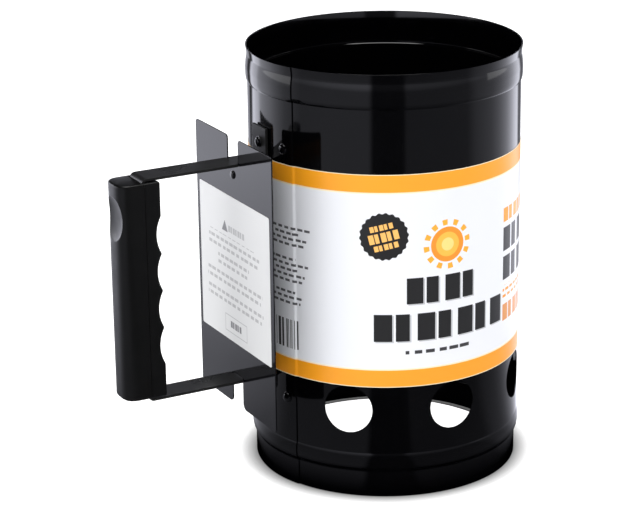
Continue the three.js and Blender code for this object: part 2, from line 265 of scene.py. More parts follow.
def bent_bar(corners, thickness, bend, steps=8):
    """The side outline of a bar bent along (u, z) corners, with both faces parallel."""
    corners = [np.array(c, float) for c in corners]
    edges = []
    for side in (1, -1):
        edge = []
        for i, here in enumerate(corners):
            into = here - corners[i - 1] if i else None
            out = corners[i + 1] - here if i + 1 < len(corners) else None
            into = None if into is None else into / np.linalg.norm(into)
            out = None if out is None else out / np.linalg.norm(out)
            if into is None or out is None:
                d = out if into is None else into
                edge.append(here + np.array([-d[1], d[0]]) * side * thickness / 2)
                continue
            centre = here - into * bend + out * bend
            left = 1 if into[0] * out[1] - into[1] * out[0] > 0 else -1
            radius = bend - side * left * thickness / 2
            for k in range(steps + 1):
                angle = math.pi / 2 * k / steps
                edge.append(centre + radius * (into * math.sin(angle) - out * math.cos(angle)))
        edges.append(edge)
    return np.array(edges[1] + edges[0][::-1])


def prism(outline, width):
    """A (u, z) outline extruded evenly to both sides of the handle's plane."""
    rows = [along_handle(outline[:, 0], v, outline[:, 1]) for v in (-width / 2, width / 2)]
    return loft(rows)


def plate(outline, from_u, to_u):
    """A (v, z) outline as a plate across the handle's direction."""
    rows = [along_handle(u, outline[:, 0], outline[:, 1]) for u in (from_u, to_u)]
    return loft(rows)


def outward(verts, faces):
    """The same mesh with its faces turned outwards."""
    volume = 0
    for face in faces:
        a = verts[face[0]]
        for i in range(1, len(face) - 1):
            volume += np.dot(a, np.cross(verts[face[i]], verts[face[i + 1]]))
    return (verts, faces) if volume > 0 else (verts, [tuple(f)[::-1] for f in faces])


def turned_piece(node, profile, matrix, material):
    """A fixed piece turned from its profile."""
    piece = make_piece(f"{node}_fine", outward(*turned(profile, matrix)), material, node)
    shade_by_angle(piece)


# ---- rolled sheet


def snap_to_holes(arc, z, holes):
    """Moves grid points onto the holes' edges. Returns the points and 0 outside, 1 on an edge, 2 inside."""
    state = np.zeros(arc.shape, int)
    for centre, height, radius in holes:
        du, dz = arc - centre, z - height
        distance = np.hypot(du, dz)
        gap = distance - radius
        edge = np.zeros(arc.shape, bool)
        for axis in (0, 1):
            low = [slice(None)] * 2
            high = [slice(None)] * 2
            low[axis], high[axis] = slice(None, -1), slice(1, None)
            low, high = tuple(low), tuple(high)
            crossing = gap[low] * gap[high] < 0
            nearer = np.abs(gap[low]) <= np.abs(gap[high])
            edge[low] |= crossing & nearer
            edge[high] |= crossing & ~nearer
        state[(gap < 0) & ~edge] = 2
        state[edge] = 1
        scale = np.where(edge, radius / np.maximum(distance, 1e-9), 1)
        arc = np.where(edge, centre + du * scale, arc)
        z = np.where(edge, height + dz * scale, z)
    return arc, z, state


def kept_faces(arc, z, state, holes):
    """The grid's faces that lie outside the holes."""
    count, rows = arc.shape
    faces = []
    for i in range(count - 1):
        for j in range(rows - 1):
            cell = [(i, j), (i + 1, j), (i + 1, j + 1), (i, j + 1)]
            kinds = [state[c] for c in cell]
            if 2 in kinds:
                if sorted(kinds) == [0, 1, 1, 2] and kinds[(kinds.index(2) + 2) % 4] == 0:
                    faces.append([c[0] * rows + c[1] for c, k in zip(cell, kinds) if k != 2])
                continue
            if kinds == [1, 1, 1, 1]:
                middle_u = sum(arc[c] for c in cell) / 4
                middle_z = sum(z[c] for c in cell) / 4
                if any(math.hypot(middle_u - u, middle_z - h) < r for u, h, r in holes):
                    continue
            faces.append([c[0] * rows + c[1] for c in cell])
    return faces


def rolled_sheet(angles, heights, radius, thickness, holes=()):
    """A closed sheet of even thickness rolled round the drum's axis, with round holes."""
    scale = DRUM_R * DEG
    arc, z = np.meshgrid(np.asarray(angles) * scale, heights, indexing="ij")
    holes = [(angle * scale, height, r) for angle, height, r in holes]
    arc, z, state = snap_to_holes(arc, z, holes)
    faces = kept_faces(arc, z, state, holes)
    angle, height = arc.ravel() / scale, z.ravel()
    outer_r = radius(angle, height)
    used = sorted({v for face in faces for v in face})
    index = {v: k for k, v in enumerate(used)}
    outer = polar(outer_r[used], angle[used], height[used])
    inner = polar(outer_r[used] - thickness, angle[used], height[used])
    faces = [[index[v] for v in face] for face in faces]
    count = len(used)
    directed = {(f[k], f[(k + 1) % len(f)]) for f in faces for k in range(len(f))}
    rims = [(b, a, a + count, b + count) for a, b in directed if (b, a) not in directed]
    backs = [tuple(v + count for v in face[::-1]) for face in faces]
    return np.concatenate([outer, inner]), [tuple(f) for f in faces] + backs + sorted(rims)


def drum_profile(z):
    """The outer radius at each height, before the lap: foot, low bead, wall, top bead, neck and flare."""
    mm = z / MM
    foot = FOOT + (WALL - FOOT) * smoothstep(*FOOT_STEP, mm)
    low_bead = np.clip(1 - ((mm - LOW_BEAD_AT) / LOW_BEAD_HALF) ** 2, 0, None) ** 0.8 * LOW_BEAD_OUT
    above = np.clip((mm - TOP_BEAD_AT) / TOP_BEAD_ABOVE, 0, 1)
    below = np.clip((TOP_BEAD_AT - mm) / TOP_BEAD_BELOW, 0, 1)
    rounding = TOP_BEAD_ROUNDING * (1 - np.sqrt(1 - below**4))
    flare = FLARE_OUT * np.clip((mm - FLARE_FROM) / FLARE_HEIGHT, 0, 1) ** 1.5
    top = NECK + TOP_BEAD_OUT * (1 - above**2) ** 1.2 - rounding
    step = smoothstep(*GROOVE, mm)
    return np.where(mm < BEADS_APART, foot + low_bead, WALL * (1 - step) + top * step + flare) * MM


def drum_radius(angle, z):
    """The sheet's outer radius. It starts under the lap and ends over it, a full turn later."""
    lift = smoothstep(360 + LAP_FROM - LAP_RAMP, 360 + LAP_FROM, angle)
    return drum_profile(z) + LAP_LIFT * lift


def wrap_radius(angle, z):
    """The paper follows the drum over the lap, and its own end lies over its start."""
    here = np.mod(angle + 180, 360) - 180
    lift = smoothstep(LAP_FROM - LAP_RAMP, LAP_FROM, here) - smoothstep(LAP_TO, LAP_TO + LAP_END, here)
    over = smoothstep(*WRAP_LAP, angle)
    return DRUM_R + LAP_LIFT * lift + WRAP_OFF_DRUM + WRAP_LAP_LIFT * over


# ---- node helpers


class Field:
    """A number over a surface: an output socket, with the arithmetic that builds math nodes."""

    def __init__(self, tree, socket):
        self.tree = tree
        self.socket = socket

    def apply(self, operation, *others):
        node = self.tree.nodes.new("ShaderNodeMath")
        node.operation = operation
        for slot, value in zip(node.inputs, (self, *others)):
            if isinstance(value, Field):
                self.tree.links.new(value.socket, slot)
            else:
                slot.default_value = value
        return Field(self.tree, node.outputs[0])

    def __add__(self, other):
        return self.apply("ADD", other)

    def __sub__(self, other):
        return self.apply("SUBTRACT", other)

    def __mul__(self, other):
        return self.apply("MULTIPLY", other)

    def __truediv__(self, other):
        return self.apply("DIVIDE", other)

    def above(self, other):
        return self.apply("GREATER_THAN", other)

    def below(self, other):
        return self.apply("LESS_THAN", other)

    def floor(self):
        return self.apply("FLOOR")

    def absolute(self):
        return self.apply("ABSOLUTE")

    def repeat(self, period):
        return self.apply("FLOORED_MODULO", period)


class Surface:
    """One Principled material and the few things that every finish here is made of."""

    def __init__(self, name, colour, roughness, metallic=0.0, specular=0.5):
        self.material = bpy.data.materials.new(name)
        self.material.use_nodes = True
        self.tree = self.material.node_tree
        self.shader = next(n for n in self.tree.nodes if n.type == "BSDF_PRINCIPLED")
        self.shader.inputs["Base Color"].default_value = (*colour, 1)
        self.shader.inputs["Roughness"].default_value = roughness
        self.shader.inputs["Metallic"].default_value = metallic
        self.shader.inputs["Specular IOR Level"].default_value = specular
        self.place = self.tree.nodes.new("ShaderNodeTexCoord").outputs["Object"]
        self.colour = None

    def feed(self, source, socket):
        """Links a field, or another node's output, into a socket."""
        self.tree.links.new(getattr(source, "socket", source), socket)

    def axes(self):
        split = self.tree.nodes.new("ShaderNodeSeparateXYZ")
        self.feed(self.place, split.inputs[0])
        return [Field(self.tree, out) for out in split.outputs]

    def noise(self, size, detail=2.0, stretch=(1, 1, 1), roughness=0.5):
        """Noise with features about size metres across."""
        scale = self.tree.nodes.new("ShaderNodeMapping")
        scale.inputs["Scale"].default_value = [s / size for s in stretch]
        self.feed(self.place, scale.inputs["Vector"])
        node = self.tree.nodes.new("ShaderNodeTexNoise")
        node.inputs["Scale"].default_value = 1
        node.inputs["Detail"].default_value = detail
        node.inputs["Roughness"].default_value = roughness
        self.feed(scale.outputs[0], node.inputs["Vector"])
        return Field(self.tree, node.outputs["Fac"])

    def spread(self, field, low, high, new_low, new_high):
        """Maps a field's range to another, clamped."""
        node = self.tree.nodes.new("ShaderNodeMapRange")
        node.inputs["From Min"].default_value = low
        node.inputs["From Max"].default_value = high
        node.inputs["To Min"].default_value = new_low
        node.inputs["To Max"].default_value = new_high
        self.feed(field, node.inputs["Value"])
        return Field(self.tree, node.outputs["Result"])

    def paint(self, mask, colour):
        """Lays a colour over what is there, where the mask is 1."""
        mix = self.tree.nodes.new("ShaderNodeMix")
        mix.data_type = "RGBA"
        if self.colour is None:
            mix.inputs["A"].default_value = self.shader.inputs["Base Color"].default_value
        else:
            self.feed(self.colour, mix.inputs["A"])
        mix.inputs["B"].default_value = (*colour, 1)
        self.feed(mask, mix.inputs["Factor"])
        self.colour = mix.outputs["Result"]
        self.feed(self.colour, self.shader.inputs["Base Color"])

    def set_roughness(self, field):
        self.feed(field, self.shader.inputs["Roughness"])

    def bump(self, field, depth):
        """Raises the surface by the field, depth metres from 0 to 1, on top of any earlier bump."""
        node = self.tree.nodes.new("ShaderNodeBump")
        node.inputs["Distance"].default_value = depth
        node.inputs["Strength"].default_value = 1
        self.feed(field, node.inputs["Height"])
        before = self.shader.inputs["Normal"].links
        if before:
            self.feed(before[0].from_socket, node.inputs["Normal"])
        self.feed(node.outputs[0], self.shader.inputs["Normal"])


# ---- finishes

LINE_SHARE = 0.45
ROW_OFFSET = 0.37


def enamel(name, colour, gloss, peel, specular=0.5):
    """Baked enamel: near black, orange peel, faint dust and slightly uneven gloss."""
    finish = Surface(name, colour, gloss, specular=specular)
    dust = finish.spread(finish.noise(0.06, 5, roughness=0.65), 0.5, 0.85, 0, 0.5)
    finish.paint(dust, [c * 1.6 + 0.001 for c in colour])
    specks = finish.spread(finish.noise(0.0016, 1), 0.76, 0.82, 0, 0.25)
    finish.paint(specks, (0.02, 0.02, 0.021))
    finish.set_roughness(finish.spread(finish.noise(0.035, 3), 0.3, 0.75, gloss * 0.7, gloss * 1.5))
    finish.bump(finish.noise(0.0022, 2), peel)
    finish.bump(finish.noise(0.045, 1), peel * 5)
    return finish.material


def moulded_plastic():
    """Satin black moulding with a fine spark-eroded grain and rubbed high spots."""
    finish = Surface("grip_plastic", (0.0028, 0.0028, 0.0028), 0.36, specular=0.35)
    rubbed = finish.spread(finish.noise(0.02, 4), 0.5, 0.8, 0, 0.5)
    finish.paint(rubbed, (0.005, 0.005, 0.0052))
    finish.set_roughness(finish.spread(finish.noise(0.012, 3), 0.3, 0.7, 0.28, 0.42))
    finish.bump(finish.noise(0.0007, 2), 0.00003)
    finish.bump(finish.noise(0.02, 1), 0.0001)
    return finish.material


def plated_steel(name, colour, grain, gloss):
    """Dull plated steel with drawn grain, darker patches and small pits."""
    finish = Surface(name, colour, gloss, metallic=1.0)
    tarnish = finish.spread(finish.noise(0.014, 5, roughness=0.7), 0.42, 0.75, 0, 0.7)
    finish.paint(tarnish, [c * 0.6 for c in colour])
    finish.set_roughness(finish.spread(finish.noise(0.006, 4), 0.3, 0.7, gloss * 0.7, gloss * 1.4))
    finish.bump(finish.noise(0.0012, 3, stretch=grain), 0.00002)
    return finish.material


def oblong(u, v, left, right, low, high):
    """1 inside a rectangle, in millimetres."""
    return u.above(left) * u.below(right) * v.above(low) * v.below(high)


def print_lines(finish, u, v, rect, pitch, ink, word):
    """A paragraph as plain rules: even lines, broken into dashes a word long, with a ragged edge."""
    _, right, low, _ = rect
    row = ((v - low) / pitch).floor()
    in_row = (v - low).repeat(pitch).below(pitch * LINE_SHARE)
    along = u / word + row * ROW_OFFSET
    noise = finish.tree.nodes.new("ShaderNodeTexWhiteNoise")
    noise.noise_dimensions = "2D"
    place = finish.tree.nodes.new("ShaderNodeCombineXYZ")
    finish.feed(along.floor(), place.inputs[0])
    finish.feed(row, place.inputs[1])
    finish.feed(place.outputs[0], noise.inputs["Vector"])
    space = Field(finish.tree, noise.outputs["Value"]) * 0.3 + 0.12
    ragged = (row * 2.7).apply("SINE") * (word * 0.9) + (right - word)
    dashes = along.repeat(1.0).above(space)
    finish.paint(oblong(u, v, *rect) * in_row * dashes * u.below(ragged), ink)


def blocks_mask(u, v, rect, count):
    """1 inside a row of plain upright blocks of two widths."""
    left, right, _, _ = rect
    pitch = (right - left) / count
    across = (u - left).repeat(pitch)
    odd = ((u - left) / pitch).floor().repeat(2)
    return oblong(u, v, *rect) * across.below(odd * (pitch * -0.2) + pitch * 0.84)


def print_blocks(finish, u, v, rect, count, ink, shadow=None):
    """A heading as a row of blocks, with or without a soft shadow to the lower right."""
    if shadow:
        finish.paint(blocks_mask(u - 1.1, v + 0.9, rect, count), shadow)
    finish.paint(blocks_mask(u, v, rect, count), ink)


def print_bars(finish, u, v, rect, pitch, ink):
    """Upright bars of uneven width, side by side."""
    noise = finish.tree.nodes.new("ShaderNodeTexWhiteNoise")
    noise.noise_dimensions = "1D"
    finish.feed((u / pitch).floor(), noise.inputs["W"])
    dark = Field(finish.tree, noise.outputs["Value"]).above(0.45)
    finish.paint(oblong(u, v, *rect) * dark, ink)


ORANGE = (0.93, 0.36, 0.012)
DEEP_ORANGE = (0.92, 0.345, 0.011)
CREAM = (0.93, 0.8, 0.55)
INK = (0.022, 0.022, 0.024)
FINE_INK = (0.05, 0.05, 0.055)
GREY_INK = (0.1, 0.1, 0.11)
BAR_INK = (0.03, 0.03, 0.032)
RUST = (0.75, 0.3, 0.08)
BADGE_INK = (0.95, 0.5, 0.13)
BLOCK_SHADE = (0.5, 0.51, 0.54)
PER_DEGREE = WALL * math.pi / 180
BAND = 12.4
BAND_EDGE = 1.1
TRIM = 0.5


def printed(left, right, low, high):
    """A rectangle on the wrap, its sides in degrees from the handle, as millimetres."""
    return left * PER_DEGREE, right * PER_DEGREE, low, high


def wrap_axes(finish):
    """Millimetres round the drum from the handle and up it. The print comes twice round the drum."""
    x, y, z = finish.axes()
    angle = (y * -1).apply("ARCTAN2", x * -1 + AXIS_X)
    start = -15 * PER_DEGREE
    return (angle * WALL - start).repeat(math.pi * WALL) + start, z / MM


def print_bands(finish, v):
    """The orange band at each edge, with its cream lines."""
    low, high = WRAP_LOW.z / MM, WRAP_HIGH.z / MM
    middle, half = (low + high) / 2, (high - low) / 2
    edge = (v - middle).absolute()
    finish.paint(edge.above(half - BAND - BAND_EDGE), CREAM)
    finish.paint(edge.above(half - BAND), ORANGE)
    finish.paint(edge.above(half - BAND) * v.below(middle), DEEP_ORANGE)
    finish.paint(edge.above(half - TRIM), CREAM)


def print_badge(finish, u, v):
    """A round black badge with a jagged edge and three rows of tilted blocks."""
    du, dv = u - 60.3 * PER_DEGREE, v - 189.8
    reach = (du * du + dv * dv).apply("SQRT")
    jag = (dv.apply("ARCTAN2", du) * 22).apply("SINE") * 0.45 + 16.3
    finish.paint(reach.below(jag), INK)
    along, across = 0.97, 0.24
    tilted_u = du * along + dv * across
    tilted_v = dv * along - du * across
    for bottom, top, half in ((4.6, 8.6, 8.2), (-3.6, 3.0, 10.6), (-9.2, -5.2, 8.6)):
        print_blocks(finish, tilted_u, tilted_v, (-half, half, bottom, top), 5, BADGE_INK)


def print_sun(finish, u, v):
    """A plain sun: twelve rays round three discs."""
    du, dv = u - 87 * PER_DEGREE, v - 181.5
    reach = (du * du + dv * dv).apply("SQRT")
    rays = (dv.apply("ARCTAN2", du) * 12).apply("SINE").above(0.15)
    finish.paint(reach.below(17.5) * reach.above(13.6) * rays, (0.93, 0.42, 0.03))
    for radius, colour in ((12.3, (0.93, 0.3, 0.02)), (8.6, (0.95, 0.5, 0.06)), (4.6, (0.96, 0.7, 0.22))):
        finish.paint(reach.below(radius), colour)


def print_front(finish, u, v):
    """Two headings and a fine line in the middle of the front."""
    print_blocks(finish, u, v, printed(69.5, 102.5, 141.5, 160), 4, INK, BLOCK_SHADE)
    print_blocks(finish, u, v, printed(56, 119, 115, 134.5), 7, INK, BLOCK_SHADE)
    print_lines(finish, u, v, printed(69, 104, 105.5, 110.5), 5.6, FINE_INK, 9)


def print_side(finish, u, v):
    """Headings and lines to the right of the front."""
    print_blocks(finish, u, v, printed(119.5, 160, 185, 195), 8, DEEP_ORANGE)
    print_blocks(finish, u, v, printed(119.5, 160, 164, 181), 5, INK)
    print_blocks(finish, u, v, printed(119.5, 160, 143, 160), 5, INK)
    print_lines(finish, u, v, printed(119.5, 162, 130, 139), 4.4, DEEP_ORANGE, 7)
    print_blocks(finish, u, v, printed(119.5, 152, 113, 125), 6, RUST)


def print_small_print(finish, u, v):
    """Three paragraphs and a run of bars close to the handle."""
    for low, high, right in ((176, 191, 29), (150, 168, 28), (134, 145, 27)):
        print_lines(finish, u, v, printed(-11, right, low, high), 3.9, GREY_INK, 6)
    print_bars(finish, u, v, printed(-6, 22.2, 101.5, 122.5), 0.62, BAR_INK)


def wrap_paper():
    """Coated white paper, with plain shapes in place of the print."""
    finish = Surface("wrap_paper", (0.80, 0.815, 0.86), 0.34, specular=0.4)
    u, v = wrap_axes(finish)
    print_bands(finish, v)
    for part in (print_badge, print_sun, print_front, print_side, print_small_print):
        part(finish, u, v)
    finish.set_roughness(finish.spread(finish.noise(0.0011, 4), 0.3, 0.8, 0.3, 0.42))
    finish.bump(finish.noise(0.03, 2), 0.00012)
    finish.bump(finish.noise(0.0009, 3), 0.000006)
    return finish.material


STICKER_GREY = (0.4, 0.4, 0.41)
STICKER_DARK = (0.17, 0.17, 0.18)
# The sticker's paragraphs, in millimetres from its middle and from the ground.
PARAGRAPHS = (
    (-40, 42, 164.5, 175.5),
    (-26, 26, 152.5, 161),
    (-43, 46, 139.5, 149),
    (-43, 47, 126, 135.5),
)


def print_triangle(finish, u, v):
    du, dv = (u + 14.5).absolute(), v - 182.2
    finish.paint(dv.above(-3.6) * (dv + du * 1.7).below(4.2), STICKER_DARK)


def print_frame(finish, u, v):
    du, dv = u.absolute(), (v - 111.8).absolute()
    outside = du.below(17) * dv.below(6.3)
    inside = du.below(16.4) * dv.below(5.7)
    finish.paint(outside - inside, STICKER_GREY)


def sticker_paper():
    """A white sticker: a mark, a heading, rules for its paragraphs and a small framed heading."""
    finish = Surface("sticker_paper", (0.66, 0.665, 0.67), 0.3, specular=0.4)
    _, y, z = finish.axes()
    u, v = y * (-1 / MM), z / MM
    print_triangle(finish, u, v)
    print_blocks(finish, u, v, (-9, 16, 179.5, 184), 7, STICKER_GREY)
    for rect in PARAGRAPHS:
        print_lines(finish, u, v, rect, 5.2, STICKER_GREY, 7)
    print_frame(finish, u, v)
    print_blocks(finish, u, v, (-8.5, 8.5, 109.6, 114.4), 5, STICKER_DARK)
    finish.set_roughness(finish.spread(finish.noise(0.02, 3), 0.3, 0.8, 0.3, 0.36))
    finish.bump(finish.noise(0.025, 2), 0.00008)
    return finish.material


DRUM_ENAMEL = enamel("drum_enamel", (0.0006, 0.0006, 0.0009), 0.07, 0.0000012)
SHIELD_ENAMEL = enamel("shield_enamel", (0.003, 0.003, 0.0038), 0.06, 0.000001, specular=0.62)
STRAP_ENAMEL = enamel("strap_enamel", (0.011, 0.011, 0.011), 0.3, 0.000006, specular=0.3)
RIVET_ENAMEL = enamel("rivet_enamel", (0.001, 0.001, 0.0015), 0.1, 0.000002)
GRIP_PLASTIC = moulded_plastic()
WRAP_PAPER = wrap_paper()
STICKER_PAPER = sticker_paper()
WIRE_STEEL = plated_steel("grate_wire", (0.42, 0.42, 0.43), (0.2, 1, 1), 0.4)
ZINC_STEEL = plated_steel("zinc_steel", (0.56, 0.56, 0.57), (1, 1, 1), 0.28)


# ---- drum and wrap


# Heights of the sheet's rows, in millimetres: from, to, how many. They are close at the bends and holes.
DRUM_ROWS = (
    (0, 18, 7),
    (18, 34, 33),
    (34, 46, 5),
    (46, 83, 37),
    (83, 272, 16),
    (272, 276, 5),
    (276, 279, 16),
    (279, DRUM_TOP / MM, 45),
)


def drum():
    heights = np.unique(np.concatenate([np.linspace(*rows) for rows in DRUM_ROWS]).round(4))
    angles = np.linspace(LAP_FROM, 360 + LAP_TO, 481)
    vents = [(angle, VENT_Z, VENT_R) for angle in VENT_ANGLES]
    mesh = rolled_sheet(angles, heights * MM, drum_radius, SHEET, vents)
    piece = make_piece("drum_sheet", mesh, DRUM_ENAMEL, "drum")
    soften(piece, 0.24 * MM, 2, 60)


def wrap():
    angles = np.linspace(WRAP_START, WRAP_END, 733)
    heights = np.linspace(WRAP_LOW.z, WRAP_HIGH.z, 9)
    mesh = rolled_sheet(angles, heights, wrap_radius, WRAP_THICKNESS)
    piece = make_piece("paper_wrap", mesh, WRAP_PAPER, "wrap_label")
    shade_by_angle(piece, 50)


# ---- shield


def shield():
    back, front = AXIS_X - SHIELD_HIGH.x, AXIS_X - SHIELD_LOW.x
    half = SHIELD_HIGH.y
    low, high = SHIELD_LOW.z, SHIELD_HIGH.z
    slot, slot_low, slot_high = 8 * MM, 77 * MM, 229.8 * MM
    small, corner, mouth = 1 * MM, 2.6 * MM, 4.5 * MM
    outline = rounded(
        [
            (-half, low, corner),
            (-slot, low, mouth),
            (-slot, slot_low, small),
            (slot, slot_low, small),
            (slot, low, mouth),
            (half, low, corner),
            (half, high, corner),
            (slot, high, corner),
            (slot, slot_high, small),
            (-slot, slot_high, small),
            (-slot, high, corner),
            (-half, high, corner),
        ]
    )
    piece = make_piece("shield_plate", outward(*plate(outline, back, front)), SHIELD_ENAMEL, "heat_shield")
    soften(piece, 0.22 * MM)


def sticker():
    half = STICKER_HIGH.y
    low, high = STICKER_LOW.z, STICKER_HIGH.z
    face = AXIS_X - SHIELD_LOW.x
    corner = 1.5 * MM
    corners = [(-half, low), (half, low), (half, high), (-half, high)]
    outline = rounded([(v, z, corner) for v, z in corners])
    mesh = outward(*plate(outline, face + 0.02 * MM, face + 0.18 * MM))
    piece = make_piece("shield_sticker", mesh, STICKER_PAPER, "shield_label")
    shade_by_angle(piece)


# ---- strap and grip

STRAP_T = 2 * MM
STRAP_BEND = 3 * MM
ARM_Z = (75.3 * MM, 231.5 * MM)
WEB_U = AXIS_X - STRAP_LOW.x - STRAP_T / 2
TAB_U = AXIS_X - STRAP_HIGH.x + STRAP_T / 2
STRAP_W = STRAP_HIGH.y - STRAP_LOW.y
NECK_HALF = 7.4 * MM
ROOM = 0.3 * MM


def strap():
    line = [
        (TAB_U, STRAP_HIGH.z),
        (TAB_U, ARM_Z[1]),
        (WEB_U, ARM_Z[1]),
        (WEB_U, ARM_Z[0]),
        (TAB_U, ARM_Z[0]),
        (TAB_U, STRAP_LOW.z),
    ]
    mesh = outward(*prism(bent_bar(line, STRAP_T, STRAP_BEND), STRAP_W))
    piece = make_piece("strap_bar", mesh, STRAP_ENAMEL, "handle_strap")
    front, back = SHIELD_LOW.x - ROOM, SHIELD_HIGH.x + ROOM
    notches = [
        block((front, near, z - 2 * STRAP_T), (back, far, z + 2 * STRAP_T))
        for z in ARM_Z
        for near, far in ((-STRAP_W, -NECK_HALF), (NECK_HALF, STRAP_W))
    ]
    carve(piece, notches)
    soften(piece, 0.35 * MM, 3)


def palm_skin(reach, half):
    """The palm side's section from the split round its face and back, as (distance from the split, v)."""
    bulge, power = 12 * MM, 2 / 3
    turn = np.linspace(-math.pi / 2, math.pi / 2, 61)
    across = half * np.sign(turn) * np.abs(np.sin(turn)) ** power
    curve = np.stack([reach - bulge + bulge * np.cos(turn) ** power, across], axis=1)
    side = [(d, half) for d in np.linspace(0, reach - bulge, 5)[:-1]]
    return np.array([(d, -v) for d, v in side] + list(curve) + side[::-1])


def finger_skin(reach, half):
    """The finger side's section, in the same order: flat, with small round corners."""
    corner = 1.5 * MM
    side = [(d, half) for d in np.linspace(0, reach - corner, 5)[:-1]]
    turn = np.linspace(0, math.pi / 2, 7)
    arc = [(reach - corner + corner * math.sin(a), half - corner + corner * math.cos(a)) for a in turn]
    flat = [(reach, v) for v in np.linspace(-(half - corner), half - corner, 31)[1:-1]]
    near = side + arc
    return np.array([(d, -v) for d, v in near] + flat + near[::-1])


def skin_normals(points, count):
    """Outward directions for a section whose first points are its skin. The channel's points stay put."""
    tangent = np.roll(points, -1, axis=0) - np.roll(points, 1, axis=0)
    normal = np.stack([tangent[:, 1], -tangent[:, 0]], axis=1)
    normal /= np.maximum(np.linalg.norm(normal, axis=1), 1e-9)[:, None]
    normal[count:] = 0
    normal[0] = (0, -1)
    normal[count - 1] = (0, 1)
    return normal


def grip_half(split, face, skin, depth_at):
    """Stacks sections up the grip, pushing the face in by depth_at(z) and rounding both ends."""
    sign = 1 if face > split else -1
    low, high = PALM_LOW.z, PALM_HIGH.z
    channel, depth = 10.3 * MM, 1.15 * MM
    points = np.concatenate([skin, [(0, channel), (depth, channel), (depth, -channel), (0, -channel)]])
    normal = skin_normals(points, len(skin))
    follow = np.clip(points[:, 0] / (0.5 * abs(face - split)), 0, 1)
    follow[len(skin) :] = 0
    end_r = 1.6 * MM
    ends = end_r * (1 - np.cos(np.linspace(0, math.pi / 2, 7)))
    middle = np.linspace(low + end_r, high - end_r, 240)[1:-1]
    loops = []
    for z in np.concatenate([low + ends, middle, (high - ends)[::-1]]):
        from_end = min(z - low, high - z)
        inset = end_r - math.sqrt(max(end_r**2 - max(end_r - from_end, 0) ** 2, 0))
        here = points - normal * inset
        pushed = here[:, 0] - depth_at(z) * follow
        loops.append(along_handle(split + sign * pushed, here[:, 1], z))
    return outward(*loft(loops))


def ellipsoid(centre, radii):
    """A smooth ellipsoid as a cutting tool, its poles to the sides."""
    turn = np.linspace(-math.pi / 2, math.pi / 2, 49)
    profile = [(float(math.cos(a)), float(math.sin(a))) for a in turn]
    profile[0], profile[-1] = (0, -1), (0, 1)
    matrix = Matrix.Translation(centre) @ Matrix.Diagonal((*radii, 1)) @ Matrix.Rotation(math.pi / 2, 4, "X")
    return outward(*turned(profile, matrix, 96))


def thumb_dish():
    """The tool for the shallow oval dish in the palm face, near the top."""
    radii, depth = (8 * MM, 21.5 * MM, 18.6 * MM), 3.6 * MM
    return ellipsoid((PALM_LOW.x - radii[0] + depth, 0, 205.5 * MM), radii)


def finger_scallops(z):
    """Four round hollows for the fingers, with softened crests."""
    pitch, depth, count = 26.2 * MM, 3.4 * MM, 4
    radius = ((pitch / 2) ** 2 + depth**2) / (2 * depth)
    middle = (ARM_Z[0] + ARM_Z[1]) / 2
    blur = np.linspace(-1, 1, 7) * 0.7 * MM
    deep = 0
    for k in range(count):
        offset = z + blur - middle - (k - (count - 1) / 2) * pitch
        arc = np.sqrt(np.clip(radius**2 - offset**2, 0, None))
        deep = deep + np.clip(depth - radius + arc, 0, None).mean()
    return deep


def bend_clearance():
    """Room in the grip for the strap's two bends."""
    reach = STRAP_BEND + STRAP_T
    half = STRAP_W / 2 + ROOM
    x = AXIS_X - WEB_U + STRAP_BEND
    return [block((x - reach, -half, z - reach), (x + reach, half, z + reach)) for z in ARM_Z]


SCREW_Z = [89.5 * MM, 217.5 * MM]
SHANK = 1.8 * MM
SHANK_HOLE = 1.95 * MM
COUNTERBORE_R = 4.3 * MM


def screw_bores():
    """The tools for the finger side's stepped screw holes, starting clear of its face."""
    clear, seat, end = -20 * MM, 3 * MM, 14 * MM
    bore = [(0, clear), (COUNTERBORE_R, clear), (COUNTERBORE_R, seat)]
    bore += [(SHANK_HOLE, seat), (SHANK_HOLE, end), (0, end)]
    face = Matrix.Translation((0, 0, AXIS_X - FINGER_HIGH.x))
    return [outward(*turned(bore, towards_handle(z) @ face, 40)) for z in SCREW_Z]


def grips():
    gap, half = 0.15 * MM, PALM_HIGH.y
    palm_u, finger_u = AXIS_X - PALM_LOW.x, AXIS_X - FINGER_HIGH.x
    palm_split, finger_split = WEB_U + gap, WEB_U - gap
    palm = grip_half(palm_split, palm_u, palm_skin(palm_u - palm_split, half), lambda z: 0)
    fingers = grip_half(finger_split, finger_u, finger_skin(finger_split - finger_u, half), finger_scallops)
    for name, mesh, node, cuts in (
        ("grip_palm_side", palm, "grip_outer", [thumb_dish()]),
        ("grip_finger_side", fingers, "grip_inner", screw_bores()),
    ):
        piece = make_piece(name, mesh, GRIP_PLASTIC, node)
        carve(piece, bend_clearance() + cuts)
        shade_by_angle(piece, 40)


def screws():
    start = AXIS_X - FINGER_HIGH.x + 0.7 * MM
    head, crown, length, pitch, cut = 3.7 * MM, 0.9 * MM, 19 * MM, 1.2 * MM, 0.35 * MM
    quarter = np.linspace(0, math.pi / 2, 7)[1:]
    dome = [(head * math.sin(a), start + crown * (1 - math.cos(a))) for a in quarter]
    neck = start + 2 * MM
    threads = []
    for h in start + 4 * MM + pitch * np.arange(11):
        threads += [(SHANK, h), (SHANK - cut, h + pitch / 2)]
    profile = [(0, start), *dome, (head, neck), (SHANK, neck), *threads]
    profile += [(SHANK * 0.9, start + length - 1 * MM), (0, start + length)]
    for level, z in zip(("bottom", "top"), SCREW_Z):
        node = f"grip_screw_{level}"
        mesh = outward(*turned(profile, towards_handle(z), 40))
        piece = make_piece(f"{node}_fine", mesh, ZINC_STEEL, node)
        carve(piece, cross_recess(AXIS_X - start, z))
        shade_by_angle(piece)


